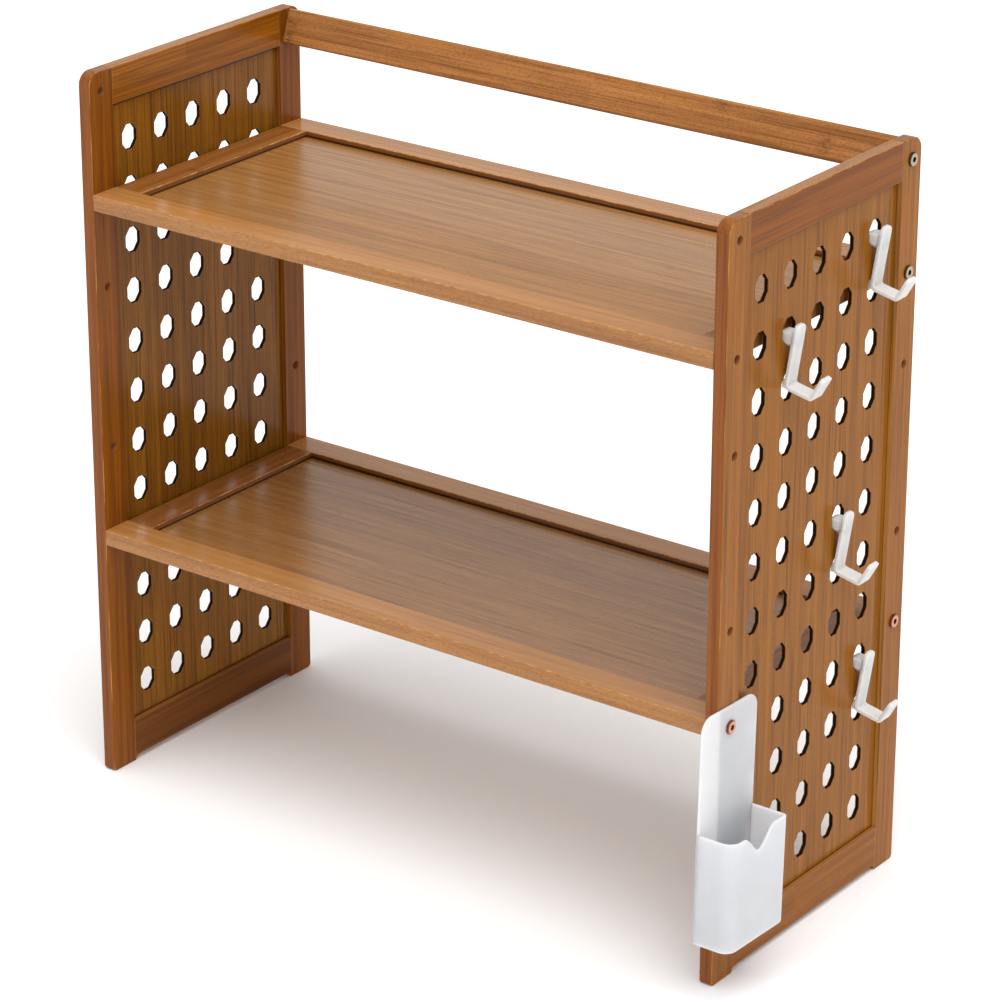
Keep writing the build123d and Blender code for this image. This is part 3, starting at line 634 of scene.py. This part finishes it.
def cup_pocket():
    """The pocket: its plan outline carried up the outside, over the rim and down the inside, set in by the
    wall's thickness there. The rim follows a smooth step down and up again across the outer wall. A ring's
    height goes from its own low level to the rim as its climb goes from nothing to one, less what it lies
    below the rim's edge."""
    inset, rise = rounding(CUP_BOTTOM_RADIUS, steps=7)
    edge_inset, edge_rise = rounding(CUP_EDGE_ROUND, CUP_EDGE_STEPS)
    inner_inset, inner_rise = rounding(CUP_INNER_ROUND, steps=6)
    wall_rows = np.linspace(0, 1, CUP_WALL_STEPS)[1:-1]
    insets = np.concatenate([inset, 0 * wall_rows, edge_inset[::-1], CUP_WALL - edge_inset,
                             CUP_WALL + 0 * wall_rows, CUP_WALL + inner_inset[::-1]])
    low = np.concatenate([rise, CUP_BOTTOM_RADIUS + 0 * wall_rows, 0 * edge_rise, 0 * edge_rise,
                          CUP_WALL + CUP_INNER_ROUND + 0 * wall_rows, CUP_WALL + inner_rise[::-1]])
    climb = np.concatenate([0 * inset, wall_rows, 1 + 0 * edge_rise, 1 + 0 * edge_rise, wall_rows[::-1],
                            0 * inner_inset])
    below = np.concatenate([0 * inset, 0 * wall_rows, edge_rise[::-1], edge_rise, 0 * wall_rows,
                            0 * inner_rise])
    half = CUP_WIDTH / 2
    radii = (LEAST_ROUND, CUP_FRONT_RADIUS, CUP_REAR_RADIUS, LEAST_ROUND)
    rings = rounded_rings((CUP_OVERLAP, -half), (CUP_DEPTH, half), radii, insets, round_steps=10,
                          side_steps=48)
    out, side = rings[..., 0], rings[..., 1]
    at_back = out < CUP_DEPTH / 2
    out = np.where(at_back, CUP_OVERLAP + (out - CUP_OVERLAP) * CUP_BACK_SHARE, out)
    away = np.clip(np.abs(side[0] - SCOOP_MIDDLE) / SCOOP_HALF, 0, 1)
    outer_wall = rings[len(inset), :, 0] > CUP_DEPTH - LEAST_ROUND
    scoop = np.where(outer_wall, SCOOP_DEPTH * (1 - away ** 2 * (3 - 2 * away)), 0)
    rim = CUP_BOTTOM_DROP - CUP_RIM_DROP - scoop
    height = low[:, None] * (1 - climb[:, None]) + climb[:, None] * rim - below[:, None]
    return cup_points(side, height - CUP_BOTTOM_DROP, out)


add_piece("pen_cup_plate", [cup_plate()], "rack", "cup_plastic", "pen_cup")
add_piece("pen_cup_pocket", [cup_pocket()], "rack", "cup_plastic", "pen_cup")

# Peg hooks: a bent strap with a lipped neck in one hole and a stub in the next, in millimetres out from the
# panel's outer face, up from the middle of the upper hole, and to each side of the hook's middle
HOOK_WIDTH = 11.0
HOOK_THICKNESS = 2.7
HOOK_CORNERS = np.array([(9.2, 6.0), (3.1, -33.1), (18.8, -36.4), (26.2, -23.2)])
HOOK_BENDS = (1.5, 0.5)
HOOK_BEND_STEPS = 16
HOOK_TOP_ROUND = 4.5
HOOK_TIP_ROUND = 3.0
HOOK_END_STEPS = 9
HOOK_BACK_STEPS = 12
HOOK_EDGE_ROUND = 0.6
HOOK_TOP_ABOVE_HOLE = 6.416
HOOK_DIRECTION_STEP = 0.02
PEG_EDGE_ROUND = 0.4
NECK_OUTLINE = np.array([(-2.2, -8.5), (2.2, -8.5), (4.8, -5.9), (4.8, 0.5), (-4.8, 0.5), (-4.8, -5.9)])
NECK_REACH = (-3.4, 6.2)
LIP_OUTLINE = np.array([(-6.0, -1.5), (-6.0, -9.9), (-4.8, -9.9), (-3.0, -8.1), (-3.0, 0.8)])
LIP_HALF = 2.8
STUB_OUTLINE = np.array([(-3.0, -35.7), (3.0, -35.7), (3.0, -30.7), (-3.0, -30.7)])
STUB_REACH = (-2.5, 1.7)
HEEL_OUTLINE = np.array([(-2.6, -26.9), (2.6, -26.9), (2.6, -22.9), (-2.6, -22.9)])
HEEL_REACH = (0.3, 3.0)


def bent_line(corners, bends):
    """A line through the corners whose inner ones are rounded by arcs of the given radii."""
    line = [corners[:1]]
    for before, corner, after, radius in zip(corners, corners[1:], corners[2:], bends):
        into, away = corner - before, after - corner
        into, away = into / np.hypot(*into), away / np.hypot(*away)
        turn = atan2(into[0] * away[1] - into[1] * away[0], into @ away)
        inner = np.array([-into[1], into[0]]) * np.sign(turn)
        start = corner - into * radius * tan(abs(turn) / 2)
        angle = np.linspace(0, abs(turn), HOOK_BEND_STEPS)[:, None]
        line.append(start + radius * (inner * (1 - np.cos(angle)) + into * np.sin(angle)))
    return np.concatenate(line + [corners[-1:]])


def hook_strap():
    """The strap: a rectangle with rounded edges carried along the bent line, square to it. Near each end its
    half width shrinks along a quarter circle, and the whole rectangle is set in along a smaller one."""
    line = bent_line(HOOK_CORNERS, HOOK_BENDS)
    run = np.concatenate([[0], np.cumsum(np.hypot(*np.diff(line, axis=0).T))])
    length = run[-1]
    quarter = 1 - np.cos(np.linspace(0, pi / 2, HOOK_END_STEPS))
    stations = np.unique(np.concatenate([
        HOOK_EDGE_ROUND * quarter, HOOK_TOP_ROUND * quarter, run[1:-1],
        np.linspace(HOOK_TOP_ROUND, run[1], HOOK_BACK_STEPS),
        length - HOOK_EDGE_ROUND * quarter, length - HOOK_TIP_ROUND * quarter]))
    x, z = np.interp(stations, run, line[:, 0]), np.interp(stations, run, line[:, 1])
    before = np.maximum(stations - HOOK_DIRECTION_STEP, 0)
    after = np.minimum(stations + HOOK_DIRECTION_STEP, length)
    way = np.stack([np.interp(after, run, line[:, i]) - np.interp(before, run, line[:, i]) for i in (0, 1)])
    way /= np.hypot(*way)
    end_gap = np.minimum(stations, length - stations)
    end_round = np.where(stations < length / 2, HOOK_TOP_ROUND, HOOK_TIP_ROUND)
    back = np.maximum(end_round - end_gap, 0)
    half = HOOK_WIDTH / 2 - end_round + np.sqrt(end_round ** 2 - back ** 2)
    back = np.maximum(HOOK_EDGE_ROUND - end_gap, 0)
    inset = HOOK_EDGE_ROUND - np.sqrt(HOOK_EDGE_ROUND ** 2 - back ** 2)
    rings = rounded_rings((0.0, -half[:, None]), (HOOK_THICKNESS, half[:, None]), (HOOK_EDGE_ROUND,) * 4,
                          inset, round_steps=7, side_steps=3)
    depth, side = rings[..., 0], rings[..., 1]
    out = x[:, None] + depth * way[1][:, None]
    up = z[:, None] - depth * way[0][:, None]
    return np.stack([out, side, up], axis=-1)


def peg(outline, start, stop):
    """A block: a convex outline carried from start to stop, set in along a quarter round at both ends. A
    corner set in by d moves d along the sum of its two sides' normals over one plus their product."""
    inset, rise = rounding(PEG_EDGE_ROUND, steps=4)
    insets = np.concatenate([inset, inset[::-1]])[:, None, None]
    toward = np.sign(stop - start)
    along = np.concatenate([start + toward * rise, stop - toward * rise[::-1]])
    sides = np.roll(outline, -1, axis=0) - outline
    normals = np.stack([sides[:, 1], -sides[:, 0]], axis=-1) / np.hypot(*sides.T)[:, None]
    former = np.roll(normals, 1, axis=0)
    corner = (normals + former) / (1 + (normals * former).sum(axis=1))[:, None]
    rings = outline - insets * corner
    return rings, np.broadcast_to(along[:, None], rings.shape[:2])


def across_panel(outline, reach):
    """A block whose outline lies to the side and up, carried out of the panel."""
    rings, out = peg(outline, *reach)
    return np.stack([out, rings[..., 0], rings[..., 1]], axis=-1)


def along_panel(outline, half):
    """A block whose outline lies out and up, carried along the panel."""
    rings, side = peg(outline, half, -half)
    return np.stack([rings[..., 0], side, rings[..., 1]], axis=-1)


hook_shells = [hook_strap(), across_panel(NECK_OUTLINE, NECK_REACH), along_panel(LIP_OUTLINE, LIP_HALF),
               across_panel(STUB_OUTLINE, STUB_REACH), across_panel(HEEL_OUTLINE, HEEL_REACH)]
for hook in ("hook_1", "hook_2", "hook_3", "hook_4"):
    low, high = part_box(hook)
    hook_top = np.array([panels[1][1].x, (low.y + high.y) / 2, high.z]) / MM
    hook_origin = hook_top - (0, 0, HOOK_TOP_ABOVE_HOLE)
    add_piece(hook + "_moulding", [shell + hook_origin for shell in hook_shells], hook, "hook_plastic", hook)

# Floor of white paper, dull and even, so that only the rack's soft shadow shows on it
FLOOR_HALF = 6.0
floor_paper, floor_tree, floor_output = new_material("white_paper")
floor_shader = node(floor_tree, "BsdfPrincipled", Base_Color=linear("fcfcfc"), Roughness=0.9)
floor_tree.links.new(floor_shader.outputs[0], floor_output.inputs["Surface"])
floor_mesh = bpy.data.meshes.new("floor")
floor_corners = [(-FLOOR_HALF, -FLOOR_HALF, 0), (FLOOR_HALF, -FLOOR_HALF, 0),
                 (FLOOR_HALF, FLOOR_HALF, 0), (-FLOOR_HALF, FLOOR_HALF, 0)]
floor_mesh.from_pydata(floor_corners, [], [(0, 1, 2, 3)])
floor_mesh.materials.append(floor_paper)
floor = bpy.data.objects.new("floor", floor_mesh)
bpy.context.scene.collection.objects.link(floor)

# Light: a white room, and one broad soft lamp overhead
ROOM_STRENGTH = 0.75
KEY_STRENGTH = 2.1
KEY_SPREAD = radians(55)
KEY_DIRECTION = Vector((0.33, -0.33, 1.0))
world = bpy.data.worlds.new("studio")
bpy.context.scene.world = world
world.use_nodes = True
world.node_tree.nodes["Background"].inputs["Color"].default_value = (1, 1, 1, 1)
world.node_tree.nodes["Background"].inputs["Strength"].default_value = ROOM_STRENGTH
key_data = bpy.data.lights.new("key_lamp", "SUN")
key_data.energy = KEY_STRENGTH
key_data.angle = KEY_SPREAD
key = bpy.data.objects.new("key_lamp", key_data)
key.rotation_euler = KEY_DIRECTION.to_track_quat("Z", "Y").to_euler()
bpy.context.scene.collection.objects.link(key)

# Camera: it stands to the right of the rack's front and above it. Its aim is measured from the middle of
# the front posts' faces, on the floor.
CAMERA_TURN = radians(36.5638)
CAMERA_RISE = radians(21.3151)
CAMERA_ROLL = radians(0.1128)
CAMERA_AIM_OFFSET = Vector((87.777, 0.0, 352.697)) * MM
CAMERA_DISTANCE = 2401.027 * MM
CAMERA_SIGHT = 100.0
SENSOR_WIDTH = 36.0
FOCAL_WIDTHS = 3.930604
CAMERA_SHIFT_UP = -0.10
camera_aim = Vector(((post_left[0].x + post_front[1].x) / 2, post_front[0].y, 0)) + CAMERA_AIM_OFFSET
camera_data = bpy.data.cameras.new("camera")
camera_data.sensor_width = SENSOR_WIDTH
camera_data.lens = FOCAL_WIDTHS * SENSOR_WIDTH
camera_data.shift_y = CAMERA_SHIFT_UP
camera_data.clip_end = CAMERA_SIGHT
towards = Vector((sin(CAMERA_TURN) * cos(CAMERA_RISE), -cos(CAMERA_TURN) * cos(CAMERA_RISE),
                  sin(CAMERA_RISE)))
right = Vector((cos(CAMERA_TURN), sin(CAMERA_TURN), 0))
up = towards.cross(right)
across = right * cos(CAMERA_ROLL) + up * sin(CAMERA_ROLL)
upright = up * cos(CAMERA_ROLL) - right * sin(CAMERA_ROLL)
camera = bpy.data.objects.new("camera", camera_data)
bpy.context.scene.collection.objects.link(camera)
turned = Matrix((across, upright, towards)).transposed().to_4x4()
camera.matrix_world = Matrix.Translation(camera_aim + towards * CAMERA_DISTANCE) @ turned
bpy.context.scene.camera = camera
bpy.context.scene.view_settings.view_transform = "Standard"
